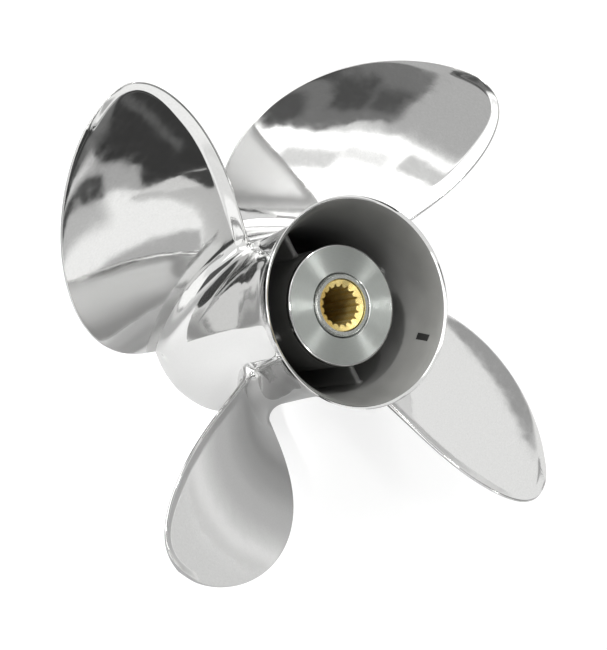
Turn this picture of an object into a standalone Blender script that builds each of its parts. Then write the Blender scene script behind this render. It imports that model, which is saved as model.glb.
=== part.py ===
"""Four-blade stainless steel boat propeller with a hollow exhaust barrel.

The shaft axis is Z. The flat front end of the barrel is at z = 0 and the flared aft end is up.
All sizes are in metres.
"""

import math

import bmesh
import bpy
from mathutils import Matrix, Vector

# Blades
BLADE_COUNT = 4
TIP_RADIUS = 0.1778
ROOT_RADIUS = 0.052
PITCH = 0.479
BLADE_MIDDLE_Z = 0.0573
RAKE = 0.459
RAKE_FALL = 0.164
RAKE_FROM_RADIUS = 0.055
ROOT_HALF_ANGLE = 0.556
HALF_ANGLE_GAIN = 0.110
HALF_ANGLE_LOSS = 0.203
OUTLINE_POWER = 1.9
SKEW = (0.124, 0.043, 0.186)
ROOT_THICKNESS = 0.0105
TIP_THICKNESS = 0.0030
EDGE_THICKNESS = 0.0020
THICKNESS_TAPER = 1.3
SECTION_FULLNESS = 0.8
CUP_WIDTH = 0.0066
CUP_SLOPE = math.tan(math.radians(13.0))
PRESSURE_FILLET = 0.012
SUCTION_FILLET = 0.009
EDGE_FILLET = 0.0025
FILLET_AT_EDGES = 0.20
FILLET_FADE_START = 0.5
BLADE_SINK = 0.006
CHORD_STEPS = 14
ROOT_STEPS = 6
SPAN_STEPS = 14
TIP_REACH = 0.985

# Barrel, as pairs of height and radius
BARREL_OUTSIDE = (
    (0.0000, 0.0532),
    (0.0012, 0.0544),
    (0.0045, 0.0551),
    (0.0120, 0.0553),
    (0.0250, 0.0547),
    (0.0600, 0.0522),
    (0.0850, 0.0506),
    (0.1030, 0.0501),
    (0.1150, 0.0507),
    (0.1280, 0.0523),
    (0.1400, 0.0542),
    (0.1500, 0.0567),
    (0.1560, 0.0588),
    (0.1600, 0.0602),
)
BARREL_INSIDE = (
    (0.0000, 0.0500),
    (0.0045, 0.0520),
    (0.0250, 0.0517),
    (0.0600, 0.0492),
    (0.0850, 0.0477),
    (0.1030, 0.0476),
    (0.1150, 0.0486),
    (0.1280, 0.0504),
    (0.1440, 0.0533),
    (0.1520, 0.0552),
    (0.1570, 0.0572),
    (0.1600, 0.0591),
)
DIFFUSER_FRONT_Z = 0.1280

# Inner hub
HUB_AFT_Z = 0.1410
HUB_FRONT_Z = 0.0120
HUB_RADIUS = 0.0350
HUB_BODY_RADIUS = 0.0344
HUB_CHAMFER = 0.0008
HUB_COLLAR = 0.0030
HUB_HOLE_RADIUS = 0.0187
HUB_FLANGE = 0.0100
BUSHING_BORE_RADIUS = 0.0280

# Ribs between inner hub and barrel
RIB_COUNT = 4
RIB_THICKNESS = 0.0035
RIB_FRONT_Z = 0.0140
RIB_AFT_Z = 0.1200

# Bushing, end rings and splined sleeve
SLEEVE_RADIUS = 0.0150
SLEEVE_FRONT_Z = 0.0160
SLEEVE_AFT_Z = 0.1407
SPLINE_COUNT = 18
SPLINE_ROOT_RADIUS = 0.0126
SPLINE_TIP_RADIUS = 0.0110
AFT_RING_RADIUS = 0.0181
AFT_RING_FACE_RADIUS = 0.0171
AFT_RING_Z = 0.1419
AFT_RING_DEPTH = 0.0060
FRONT_RING_RADIUS = 0.0250
FRONT_RING_Z = 0.0160
FRONT_RING_DEPTH = 0.0050
RING_BEVEL = 0.0012

# Low strakes behind the blades
STRAKE_FRONT_ANGLE = math.radians(-33.0)
STRAKE_AFT_ANGLE = math.radians(-38.3)
STRAKE_FRONT_Z = 0.1105
STRAKE_AFT_Z = 0.1450
STRAKE_FRONT_TOP = 0.0524
STRAKE_THICKNESS = 0.0034

# Plug in the inner wall of the flare
PLUG_AZIMUTH = math.radians(176.75)
PLUG_Z = 0.1467
PLUG_LENGTH = 0.0103
PLUG_WIDTH = 0.0048
PLUG_DEPTH = 0.0009
PLUG_TILT = math.radians(-8.7)

GAP = 0.0003
BARREL_SEGMENTS = 72
HUB_SEGMENTS = 72
MERGE = 0.00001
SHARP_ANGLE = math.radians(30.0)


def clear_scene():
    for thing in list(bpy.data.objects):
        bpy.data.objects.remove(thing, do_unlink=True)


def new_collection(name):
    collection = bpy.data.collections.new(name)
    bpy.context.scene.collection.children.link(collection)
    return collection


def new_material(name, colour, roughness, metallic):
    material = bpy.data.materials.new(name)
    material.use_nodes = True
    shader = material.node_tree.nodes["Principled BSDF"]
    shader.inputs["Base Color"].default_value = (*colour, 1.0)
    shader.inputs["Roughness"].default_value = roughness
    shader.inputs["Metallic"].default_value = metallic
    material.diffuse_color = (*colour, 1.0)
    return material


def new_object(name, data, collection, material=None):
    thing = bpy.data.objects.new(name, data)
    collection.objects.link(thing)
    if material is not None and not data.materials:
        data.materials.append(material)
    return thing


def radius_at(profile, z):
    """Radius of a profile of (height, radius) pairs at height z."""
    if z <= profile[0][0]:
        return profile[0][1]
    for (z0, r0), (z1, r1) in zip(profile, profile[1:]):
        if z <= z1:
            return r0 + (r1 - r0) * (z - z0) / (z1 - z0)
    return profile[-1][1]


def turned(name, outline, segments, collection, material=None):
    """Solid of revolution from a closed outline of (radius, height), outer side downwards."""
    mesh = bpy.data.meshes.new(name)
    points = [(radius, 0.0, z) for radius, z in outline]
    edges = [(i, (i + 1) % len(points)) for i in range(len(points))]
    mesh.from_pydata(points, edges, [])
    thing = new_object(name, mesh, collection, material)
    screw = thing.modifiers.new("Turn", "SCREW")
    screw.axis = "Z"
    screw.angle = 2.0 * math.pi
    screw.steps = segments
    screw.render_steps = segments
    screw.use_merge_vertices = True
    screw.merge_threshold = MERGE
    screw.use_smooth_shade = True
    return thing


def flat_piece(name, outlines, thickness, collection, material):
    """Flat plate of the given outlines, centred on its own XY plane."""
    curve = bpy.data.curves.new(name, "CURVE")
    curve.dimensions = "2D"
    curve.fill_mode = "BOTH"
    curve.extrude = thickness / 2.0
    for outline in outlines:
        spline = curve.splines.new("POLY")
        spline.points.add(len(outline) - 1)
        for point, (x, y) in zip(spline.points, outline):
            point.co = (x, y, 0.0, 1.0)
        spline.use_cyclic_u = True
    return new_object(name, curve, collection, material)


def circle(radius, count):
    steps = [2.0 * math.pi * i / count for i in range(count)]
    return [(radius * math.cos(a), radius * math.sin(a)) for a in steps]


def span_fraction(radius):
    return max(0.0, (radius - ROOT_RADIUS) / (TIP_RADIUS - ROOT_RADIUS))


def blade_half_angle(radius):
    s = span_fraction(radius)
    round_off = math.sqrt(max(0.0, 1.0 - s**OUTLINE_POWER))
    return round_off * (ROOT_HALF_ANGLE + HALF_ANGLE_GAIN * s - HALF_ANGLE_LOSS * s**3)


def blade_middle_angle(radius):
    s = span_fraction(radius)
    return -sum(amount * s ** (power + 1) for power, amount in enumerate(SKEW))


def blade_surface(radius, angle):
    """Point and normal of the blade's middle surface, a left-hand helicoid with rake."""
    rise = PITCH / (2.0 * math.pi)
    out = radius - RAKE_FROM_RADIUS
    z = BLADE_MIDDLE_Z + RAKE * out - RAKE_FALL * out * out - rise * angle
    slope = RAKE - 2.0 * RAKE_FALL * out
    point = Vector((radius * math.cos(angle), radius * math.sin(angle), z))
    along = Vector((math.cos(angle), math.sin(angle), slope))
    around = Vector((-radius * math.sin(angle), radius * math.cos(angle), -rise))
    return point, along.cross(around).normalized()


def fillet_growth(height, fillet):
    """How far a root fillet stands off the blade at a height above the barrel."""
    inside = max(0.0, fillet - max(height, 0.0))
    return fillet - math.sqrt(max(0.0, fillet**2 - inside**2))


def fillet_share(across):
    """The fillet shrinks towards the two ends of the root."""
    fade = max(0.0, (abs(across) - FILLET_FADE_START) / (1.0 - FILLET_FADE_START))
    return 1.0 - (1.0 - FILLET_AT_EDGES) * fade * fade


def cup_lift(from_edge):
    """The flat lip along the trailing edge is bent aft; this is its rise at a distance from the edge."""
    return CUP_SLOPE * max(0.0, CUP_WIDTH - from_edge)


def blade_side(radius, side):
    """Points of one side of a blade section from the trailing to the leading edge; side 1 is aft."""
    s = span_fraction(radius)
    middle = blade_middle_angle(radius)
    half_angle = blade_half_angle(radius)
    chord_per_angle = math.hypot(radius, PITCH / (2.0 * math.pi))
    thickness = TIP_THICKNESS + (ROOT_THICKNESS - TIP_THICKNESS) * (1.0 - s) ** THICKNESS_TAPER
    fillet = PRESSURE_FILLET if side > 0 else SUCTION_FILLET
    points = []
    for step in range(CHORD_STEPS + 1):
        across = -math.cos(math.pi * step / CHORD_STEPS)
        angle = middle + across * half_angle
        point, normal = blade_surface(radius, angle)
        height = radius - radius_at(BARREL_OUTSIDE, point.z)
        growth = fillet_growth(height, fillet) * fillet_share(across)
        at_edges = fillet_growth(height, EDGE_FILLET)
        angle += across * at_edges / radius
        point, normal = blade_surface(radius, angle)
        fullness = (1.0 - across * across) ** SECTION_FULLNESS
        half = (EDGE_THICKNESS + (thickness - EDGE_THICKNESS) * fullness) / 2.0 + growth
        lift = cup_lift((1.0 + across) * half_angle * chord_per_angle) * min(1.0, 4.0 * s)
        points.append(point + normal * (lift + side * half))
    return points


def blade_radii():
    inner = ROOT_RADIUS - BLADE_SINK
    outer = ROOT_RADIUS + PRESSURE_FILLET
    radii = [inner + (outer - inner) * i / ROOT_STEPS for i in range(ROOT_STEPS)]
    for i in range(SPAN_STEPS + 1):
        turn = TIP_REACH * math.pi / 2.0 * i / SPAN_STEPS
        radii.append(outer + (TIP_RADIUS - outer) * math.sin(turn))
    return radii


def blade_mesh():
    """One blade as a loft of its sections, with its root a little inside the barrel."""
    shape = bmesh.new()
    rows = []
    for radius in blade_radii():
        section = blade_side(radius, 1) + blade_side(radius, -1)[::-1]
        rows.append([shape.verts.new(p) for p in section])
    count = len(rows[0])
    for lower, upper in zip(rows, rows[1:]):
        for i in range(count):
            j = (i + 1) % count
            shape.faces.new((lower[i], lower[j], upper[j], upper[i]))
    for row in (rows[0], rows[-1]):
        for i in range(CHORD_STEPS):
            shape.faces.new((row[i], row[i + 1], row[count - 2 - i], row[count - 1 - i]))
    bmesh.ops.recalc_face_normals(shape, faces=shape.faces)
    mesh = bpy.data.meshes.new("blade")
    shape.to_mesh(mesh)
    shape.free()
    mesh.shade_smooth()
    mesh.set_sharp_from_angle(angle=SHARP_ANGLE)
    return mesh


def as_cutter(thing):
    thing.hide_render = True
    thing.display_type = "WIRE"
    return thing


def cut(thing, cutter):
    boolean = thing.modifiers.new("Cut", "BOOLEAN")
    boolean.operation = "DIFFERENCE"
    boolean.solver = "EXACT"
    boolean.object = cutter


def make_blades(parts, cutters, steel):
    outline = [(radius + GAP, z) for z, radius in reversed(BARREL_OUTSIDE)]
    clearance = turned(
        "barrel_clearance",
        [(0.0, outline[0][1] + GAP), (outline[0][0], outline[0][1] + GAP), *outline[1:-1],
         (outline[-1][0], -GAP), (0.0, -GAP)],
        BARREL_SEGMENTS,
        cutters,
    )
    as_cutter(clearance)
    mesh = blade_mesh()
    mesh.materials.append(steel)
    for number in range(BLADE_COUNT):
        blade = new_object(f"blade_{number + 1}", mesh, parts)
        blade.rotation_euler = (0.0, 0.0, 2.0 * math.pi * number / BLADE_COUNT)
        cut(blade, clearance)


def between(profile, low, high):
    """The stretch of a profile between two heights, as (radius, height) pairs going up."""
    inner = [(radius, z) for z, radius in profile if low < z < high]
    return [(radius_at(profile, low), low), *inner, (radius_at(profile, high), high)]


def make_wall(name, low, high, parts, steel):
    """One length of the barrel's wall."""
    outside = between(BARREL_OUTSIDE, low, high)
    inside = between(BARREL_INSIDE, low, high)
    return turned(name, outside[::-1] + inside, BARREL_SEGMENTS, parts, steel)


def make_barrel(parts, cutters, steel):
    make_wall("barrel", 0.0, DIFFUSER_FRONT_Z - GAP, parts, steel)
    diffuser = make_wall("diffuser_ring", DIFFUSER_FRONT_Z, BARREL_OUTSIDE[-1][0], parts, steel)
    bpy.ops.mesh.primitive_cube_add(size=1.0)
    pocket = bpy.context.object
    pocket.name = "plug_pocket"
    place_on_flare(pocket, (PLUG_LENGTH, PLUG_WIDTH, 2.0 * PLUG_DEPTH), 0.0)
    move_to(pocket, cutters)
    as_cutter(pocket)
    cut(diffuser, pocket)


def move_to(thing, collection):
    for old in list(thing.users_collection):
        old.objects.unlink(thing)
    collection.objects.link(thing)


def place_on_flare(block, size, inwards):
    """Size a unit block and lay it on the inner wall of the flare, its X axis up the slope."""
    step = PLUG_LENGTH / 2.0
    low = Vector((radius_at(BARREL_INSIDE, PLUG_Z - step), 0.0, PLUG_Z - step))
    high = Vector((radius_at(BARREL_INSIDE, PLUG_Z + step), 0.0, PLUG_Z + step))
    up_slope = (high - low).normalized()
    sideways = Vector((0.0, 1.0, 0.0))
    out_of_wall = up_slope.cross(sideways)
    turn = Matrix((up_slope, sideways, out_of_wall)).transposed().to_4x4()
    turn = turn @ Matrix.Rotation(PLUG_TILT, 4, "Z")
    middle = (low + high) / 2.0 + out_of_wall * inwards
    block.data.transform(Matrix.Diagonal((*size, 1.0)))
    around = Matrix.Rotation(PLUG_AZIMUTH, 4, "Z")
    block.matrix_world = around @ Matrix.Translation(middle) @ turn


def make_plug(parts, black):
    bpy.ops.mesh.primitive_cube_add(size=1.0)
    plug = bpy.context.object
    plug.name = "slot_plug"
    size = (PLUG_LENGTH - 2.0 * GAP, PLUG_WIDTH - 2.0 * GAP, PLUG_DEPTH - GAP)
    place_on_flare(plug, size, -(PLUG_DEPTH - GAP) / 2.0)
    move_to(plug, parts)
    plug.data.materials.append(black)


def make_inner_hub(parts, steel):
    shoulder = HUB_AFT_Z - HUB_FLANGE
    outline = [
        (HUB_RADIUS - HUB_CHAMFER, HUB_AFT_Z),
        (HUB_RADIUS, HUB_AFT_Z - HUB_CHAMFER),
        (HUB_RADIUS, HUB_AFT_Z - HUB_COLLAR),
        (HUB_BODY_RADIUS, HUB_AFT_Z - 2.0 * HUB_COLLAR),
        (HUB_BODY_RADIUS, HUB_FRONT_Z),
        (BUSHING_BORE_RADIUS, HUB_FRONT_Z),
        (BUSHING_BORE_RADIUS, shoulder),
        (HUB_HOLE_RADIUS, shoulder),
        (HUB_HOLE_RADIUS, HUB_AFT_Z),
    ]
    turned("inner_hub", outline, HUB_SEGMENTS, parts, steel)


def make_bushing(parts, rubber, steel):
    shoulder = HUB_AFT_Z - HUB_FLANGE
    bore = SLEEVE_RADIUS + GAP
    aft_ring_low = AFT_RING_Z - AFT_RING_DEPTH
    front_ring_top = FRONT_RING_Z + FRONT_RING_DEPTH
    turned(
        "rubber_bushing",
        [
            (HUB_HOLE_RADIUS - GAP, aft_ring_low - GAP),
            (HUB_HOLE_RADIUS - GAP, shoulder - GAP),
            (BUSHING_BORE_RADIUS - GAP, shoulder - GAP),
            (BUSHING_BORE_RADIUS - GAP, front_ring_top + GAP),
            (bore, front_ring_top + GAP),
            (bore, aft_ring_low - GAP),
        ],
        HUB_SEGMENTS,
        parts,
        rubber,
    )
    turned(
        "aft_ring",
        [
            (AFT_RING_FACE_RADIUS, AFT_RING_Z),
            (AFT_RING_RADIUS, AFT_RING_Z - RING_BEVEL),
            (AFT_RING_RADIUS, aft_ring_low),
            (bore, aft_ring_low),
            (bore, AFT_RING_Z),
        ],
        HUB_SEGMENTS,
        parts,
        steel,
    )
    turned(
        "front_ring",
        [
            (FRONT_RING_RADIUS, front_ring_top),
            (FRONT_RING_RADIUS, FRONT_RING_Z + RING_BEVEL),
            (FRONT_RING_RADIUS - RING_BEVEL, FRONT_RING_Z),
            (bore, FRONT_RING_Z),
            (bore, front_ring_top),
        ],
        HUB_SEGMENTS,
        parts,
        steel,
    )


def spline_outline():
    """Internal teeth: in each pitch a flat-topped tooth between two root points."""
    outline = []
    pitch = 2.0 * math.pi / SPLINE_COUNT
    corners = (
        (-0.50, SPLINE_ROOT_RADIUS),
        (-0.34, SPLINE_ROOT_RADIUS - 0.0002),
        (-0.14, SPLINE_TIP_RADIUS),
        (0.14, SPLINE_TIP_RADIUS),
        (0.34, SPLINE_ROOT_RADIUS - 0.0002),
    )
    for tooth in range(SPLINE_COUNT):
        for part, radius in corners:
            angle = (tooth + part) * pitch
            outline.append((radius * math.cos(angle), radius * math.sin(angle)))
    return outline


def make_sleeve(parts, brass):
    length = SLEEVE_AFT_Z - SLEEVE_FRONT_Z
    outlines = [circle(SLEEVE_RADIUS, HUB_SEGMENTS), spline_outline()]
    sleeve = flat_piece("spline_sleeve", outlines, length, parts, brass)
    sleeve.location = (0.0, 0.0, SLEEVE_FRONT_Z + length / 2.0)


def stand_up(plate, azimuth):
    """Turn a plate drawn as (radius, height) to stand on the axis at an azimuth."""
    plate.rotation_euler = (math.pi / 2.0, 0.0, azimuth)


def make_ribs(parts, steel):
    """Webs from the inner hub to the barrel, halfway between the blades."""
    hub = HUB_BODY_RADIUS + GAP
    wall = [(radius - GAP, z) for radius, z in between(BARREL_INSIDE, RIB_FRONT_Z, RIB_AFT_Z)]
    outline = [(hub, RIB_FRONT_Z), *wall, (hub, RIB_AFT_Z)]
    for number in range(RIB_COUNT):
        rib = flat_piece(f"rib_{number + 1}", [outline], RIB_THICKNESS, parts, steel)
        stand_up(rib, 2.0 * math.pi * (number + 0.5) / RIB_COUNT)


def make_strakes(parts, steel):
    """Low slanting fins on the barrel that carry on behind each blade and run out on the flare."""
    foot = [(radius + GAP, z) for radius, z in between(BARREL_OUTSIDE, STRAKE_FRONT_Z, STRAKE_AFT_Z)]
    outline = [(STRAKE_FRONT_TOP, STRAKE_FRONT_Z), *foot[::-1]]
    middle_z = (STRAKE_FRONT_Z + STRAKE_AFT_Z) / 2.0
    slide = STRAKE_FRONT_TOP * (STRAKE_FRONT_ANGLE - STRAKE_AFT_ANGLE)
    slant = math.atan(slide / (STRAKE_AFT_Z - STRAKE_FRONT_Z))
    upright = Matrix.Rotation(math.pi / 2.0, 4, "X")
    slanted = (Matrix.Translation((0.0, 0.0, middle_z)) @ Matrix.Rotation(slant, 4, "X")
               @ Matrix.Translation((0.0, 0.0, -middle_z)))
    for number in range(BLADE_COUNT):
        strake = flat_piece(f"strake_{number + 1}", [outline], STRAKE_THICKNESS, parts, steel)
        azimuth = (STRAKE_FRONT_ANGLE + STRAKE_AFT_ANGLE) / 2.0 + 2.0 * math.pi * number / BLADE_COUNT
        strake.matrix_world = Matrix.Rotation(azimuth, 4, "Z") @ slanted @ upright


def main():
    clear_scene()
    parts = new_collection("boat_propeller")
    cutters = new_collection("cutters")
    polished = new_material("polished_steel", (0.75, 0.75, 0.74), 0.12, 1.0)
    blasted = new_material("blasted_steel", (0.45, 0.45, 0.43), 0.55, 1.0)
    machined = new_material("machined_steel", (0.62, 0.65, 0.62), 0.25, 1.0)
    rubber = new_material("black_rubber", (0.02, 0.02, 0.02), 0.70, 0.0)
    brass = new_material("brass", (0.80, 0.62, 0.25), 0.25, 1.0)
    make_barrel(parts, cutters, polished)
    make_blades(parts, cutters, polished)
    make_strakes(parts, polished)
    make_inner_hub(parts, machined)
    make_ribs(parts, blasted)
    make_bushing(parts, rubber, machined)
    make_sleeve(parts, brass)
    make_plug(parts, rubber)


main()
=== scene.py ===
"""Looks of a polished stainless steel boat propeller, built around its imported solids.

The shaft axis is Z and the flared aft end is up. All sizes are in metres.
"""

import math

import bmesh
import bpy
import numpy as np
from mathutils import Matrix, Vector


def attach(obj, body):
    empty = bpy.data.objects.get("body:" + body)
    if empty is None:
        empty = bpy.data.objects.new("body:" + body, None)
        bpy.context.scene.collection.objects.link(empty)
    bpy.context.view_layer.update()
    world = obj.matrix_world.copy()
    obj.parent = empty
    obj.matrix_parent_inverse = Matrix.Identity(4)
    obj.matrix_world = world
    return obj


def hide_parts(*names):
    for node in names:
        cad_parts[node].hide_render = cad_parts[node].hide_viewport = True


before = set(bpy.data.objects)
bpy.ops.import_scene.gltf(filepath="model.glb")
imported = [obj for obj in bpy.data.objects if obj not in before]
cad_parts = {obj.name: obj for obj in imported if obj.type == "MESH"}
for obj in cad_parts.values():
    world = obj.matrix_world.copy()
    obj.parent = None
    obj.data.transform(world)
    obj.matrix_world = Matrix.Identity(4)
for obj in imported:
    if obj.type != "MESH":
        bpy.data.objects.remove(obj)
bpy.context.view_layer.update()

# Blades, with a tip circle of 14 in
BLADE_COUNT = 4
TIP_RADIUS = 0.1778
ROOT_RADIUS = 0.052
PITCH = 0.479
BLADE_MIDDLE_Z = 0.0573
RAKE = 0.459
RAKE_FALL = 0.164
RAKE_FROM_RADIUS = 0.055
ROOT_HALF_ANGLE = 0.556
HALF_ANGLE_GAIN = 0.110
HALF_ANGLE_LOSS = 0.203
OUTLINE_POWER = 1.9
SKEW = (0.124, 0.043, 0.186)
ROOT_THICKNESS = 0.0105
TIP_THICKNESS = 0.0030
EDGE_THICKNESS = 0.0020
EDGE_GAIN_AT_ROOT = 1.5
EDGE_GAIN_FALL = 0.012
EDGE_SHARE_LIMIT = 0.9
THICKNESS_TAPER = 1.3
SECTION_FULLNESS = 0.8
CUP_WIDTH_AT_TIP = 0.0045
CUP_WIDTH_GAIN = 0.0033
CUP_NARROW_FROM = 0.70
CUP_SLOPE = math.tan(math.radians(13.0))
CUP_CREASE = 0.0005
CUP_FADE = 0.982
CUP_FROM_HEIGHT = 0.002
CUP_FULL_HEIGHT = 0.010
PRESSURE_FILLET = 0.0130
SUCTION_FILLET = 0.0090
EDGE_FILLET = 0.0070
ROOT_SINK = 0.0004
ROOT_BLEND = 0.050
WALL_PASSES = 4
FILLET_ROWS = 16
SPAN_ROWS = 96
TIP_CLOSE = 0.998
SIDE_POINTS = 104

# Barrel, as pairs of height and radius
BARREL_OUTSIDE = (
    (0.0000, 0.0532),
    (0.0012, 0.0544),
    (0.0045, 0.0551),
    (0.0120, 0.0553),
    (0.0250, 0.0547),
    (0.0600, 0.0522),
    (0.0850, 0.0506),
    (0.1030, 0.0501),
    (0.1150, 0.0507),
    (0.1280, 0.0523),
    (0.1400, 0.0542),
    (0.1500, 0.0567),
    (0.1560, 0.0588),
    (0.1600, 0.0602),
)
BARREL_INSIDE = (
    (0.0000, 0.0500),
    (0.0045, 0.0520),
    (0.0250, 0.0517),
    (0.0600, 0.0492),
    (0.0850, 0.0477),
    (0.1030, 0.0476),
    (0.1150, 0.0486),
    (0.1280, 0.0504),
    (0.1440, 0.0533),
    (0.1520, 0.0552),
    (0.1570, 0.0572),
    (0.1600, 0.0591),
)
RIM_ROUND = 0.0004
LIP_Z = 0.1588
BARREL_COLUMNS = 240
PROFILE_STEP = 0.0016

# Strakes on the barrel behind the blades
STRAKE_FRONT_ANGLE = math.radians(-33.0)
STRAKE_AFT_ANGLE = math.radians(-38.3)
STRAKE_FRONT_Z = 0.1105
STRAKE_AFT_Z = 0.1450
STRAKE_FRONT_TOP = 0.0524
STRAKE_HALF_WIDTH = 0.0017
STRAKE_FOOT = 0.0006
STRAKE_FRONT_ROWS = 9
STRAKE_WINDOW = math.radians(4.0)
STRAKE_COLUMN_STEP = math.radians(0.22)

# Inner hub, bushing and sleeve
HUB_AFT_Z = 0.1410
HUB_FRONT_Z = 0.0120
HUB_RADIUS = 0.0350
HUB_BODY_RADIUS = 0.0344
HUB_CHAMFER = 0.0008
# Round outer edge of the hub's aft face, in shares of the chamfer inwards and forwards
HUB_ROUNDING = ((2.0, 0.0), (1.4, 0.0), (0.6, 0.2), (0.15, 0.55), (0.0, 1.1))
HUB_COLLAR = 0.0030
HUB_HOLE_RADIUS = 0.0187
HUB_FLANGE = 0.0100
BUSHING_BORE_RADIUS = 0.0280
RIB_COUNT = 4
RIB_THICKNESS = 0.0035
RIB_FILLET = 0.0022
RIB_FRONT_Z = 0.0140
RIB_AFT_Z = 0.1200
RIB_SINK_IN_HUB = 0.0002
RIB_SINK_IN_WALL = 0.0004
RIB_ROWS = 25
RIB_END_POINTS = 12
RIB_SIDE_POINTS = 26
SLEEVE_RADIUS = 0.0150
SLEEVE_FRONT_Z = 0.0160
SLEEVE_AFT_Z = 0.1407
SLEEVE_MOUTH = 0.55
SLEEVE_CHAMFER = 0.0004
SPLINE_COUNT = 18
SPLINE_ROOT_RADIUS = 0.0126
SPLINE_TIP_RADIUS = 0.0110
TOOTH_FLANK_FROM = 0.40
TOOTH_FLANK_TO = 0.95
TOOTH_COLUMNS = 20
AFT_RING_RADIUS = 0.0181
AFT_RING_FACE_RADIUS = 0.0171
AFT_RING_Z = 0.1419
AFT_RING_DEPTH = 0.0060
FRONT_RING_RADIUS = 0.0250
FRONT_RING_Z = 0.0160
FRONT_RING_DEPTH = 0.0050
RING_BEVEL = 0.0012
RING_EDGE_IN = 0.0003
RING_EDGE_UP = 0.0004
GAP = 0.0003
HUB_COLUMNS = 192

# Plug in the inner wall of the flare
PLUG_AZIMUTH = math.radians(176.75)
PLUG_Z = 0.1467
PLUG_LENGTH = 0.0103
PLUG_WIDTH = 0.0048
PLUG_DEPTH = 0.0009
PLUG_TILT = math.radians(-8.7)
PLUG_STAND = 0.0003
PLUG_ROUND = 0.0003
PLUG_ROUND_SEGMENTS = 3

# Camera, fitted to the photograph
CAMERA_TARGET = (-0.0031, 0.0064, 0.0952)
CAMERA_AZIMUTH = math.radians(26.1)
CAMERA_ELEVATION = math.radians(58.9)
CAMERA_DISTANCE = 0.898
CAMERA_ROLL = math.radians(79.6)
CAMERA_LENS = 89.6
CAMERA_SENSOR = 36.0

SHARP_ANGLE = math.radians(32.0)

# Relief of the polished steel
POLISH_WAVE = 0.00012
POLISH_BROAD = 0.000006
POLISH_LINE = 0.0000018

# Heights between which the colours of the matt steel (barrel's inner wall, hub and ribs) turn from the
# deep colours to the mouth colours: painted light and shade
PAINTED_LIGHT_FROM_Z = 0.1190
PAINTED_LIGHT_TO_Z = 0.1400

# Studio
FLOOR_SIZE = 8.0
# Floor colours, darker near the propeller than far off: a painted shadow round it, seen in the metal's
# reflections
FLOOR_NEAR = (0.47, 0.47, 0.47)
FLOOR_FAR = (0.74, 0.74, 0.74)
FLOOR_NEAR_RADIUS = 0.45
FLOOR_FAR_RADIUS = 1.1
FLOOR_BLEACH = 0.54
ROOM_LIGHT = 1.1
BACKDROP_LIGHT = 1.2
WHITE = (1.0, 1.0, 1.0, 1.0)
STUDIO_WHITE = (1.0, 1.0, 0.995, 1.0)
CARD_WAVE = 7.0
STEADY_CARD_WAVE = 1.0
CARD_WAVE_SCALE = 3.0
CARD_WAVE_DETAIL = 5.0
NOISE_MIDDLE = 0.5
# How much more a card is waved, and its edge softened, in azimuth than in elevation
WAVE_STRETCH = 2.0
SOFT_STRETCH = 1.5

# Cards: middle azimuth, half width, elevation, half height, slope, soft edge, light
CARDS = (
    (0.0, 180.0, 75.0, 21.0, 0.00, 2.0, 0.66),
    (200.0, 50.0, 62.0, 30.0, 0.00, 6.0, 0.40),
    (-15.0, 20.0, 40.0, 13.0, 0.00, 1.2, 2.6),
    (30.0, 28.0, 35.0, 13.0, -0.20, 1.2, 2.6),
    (6.0, 9.0, 46.3, 2.6, -0.10, 1.6, 1.40),
    (27.0, 12.0, 40.2, 4.0, -0.25, 1.8, 1.12),
    (-15.0, 10.0, 49.2, 2.5, 0.00, 1.0, 0.95),
    (29.0, 21.0, 56.5, 7.5, -0.33, 0.6, 0.26),
    (28.0, 7.0, 56.5, 3.0, -0.20, 1.0, 0.11),
    (15.0, 5.0, 58.5, 2.2, -0.20, 1.0, 0.13),
    (46.0, 5.0, 48.5, 4.0, -0.40, 1.0, 0.13),
    (127.0, 19.0, 37.1, 10.7, 0.02, 0.4, 0.06),
    (145.5, 2.0, 35.0, 3.5, -0.60, 0.5, 0.26),
    (136.0, 8.0, 36.3, 0.8, 0.30, 0.5, 0.16),
    (131.0, 26.0, 21.2, 5.7, -0.05, 0.8, 1.35),
    (135.0, 45.0, 5.0, 11.0, -0.05, 0.8, 0.66),
    (93.0, 29.0, 10.0, 9.0, 0.00, 1.0, 1.50),
    (90.0, 32.0, 15.5, 3.5, 0.00, 1.0, 1.15),
    (205.0, 32.0, 3.5, 5.5, 0.00, 2.0, 0.95),
    (258.0, 25.0, 12.0, 15.0, -0.10, 2.0, 1.18),
    (266.0, 14.0, 31.0, 6.0, -0.12, 0.8, 0.50),
    (-22.0, 36.0, 14.0, 12.0, 0.00, 2.0, 2.6),
)
# Cards laid over the others, with an edge that is hardly waved, in the same order of values
STEADY_CARDS = (
    (43.0, 23.0, 6.5, 5.6, 0.00, 0.5, 0.13),
    (149.5, 3.5, 25.0, 3.4, 0.00, 1.4, 0.74),
    (143.5, 5.5, 28.3, 1.9, 0.00, 0.5, 0.60),
    (147.2, 1.8, 27.3, 1.7, 0.00, 0.4, 0.10),
    (147.5, 1.8, 31.2, 1.2, 0.00, 0.4, 1.00),
    (3.0, 8.0, 73.5, 2.8, 0.00, 1.0, 44.0),
    (277.0, 4.0, 45.5, 4.0, 0.00, 1.0, 26.0),
    (102.0, 6.0, 59.5, 3.5, 0.00, 1.0, 18.0),
)
# Key lamp, a large soft source
KEY_PLACE = (1.24, -0.38, 0.89)
KEY_TARGET = (0.0, 0.0, 0.14)
KEY_SIZE = 0.3
KEY_POWER = 9.0
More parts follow.
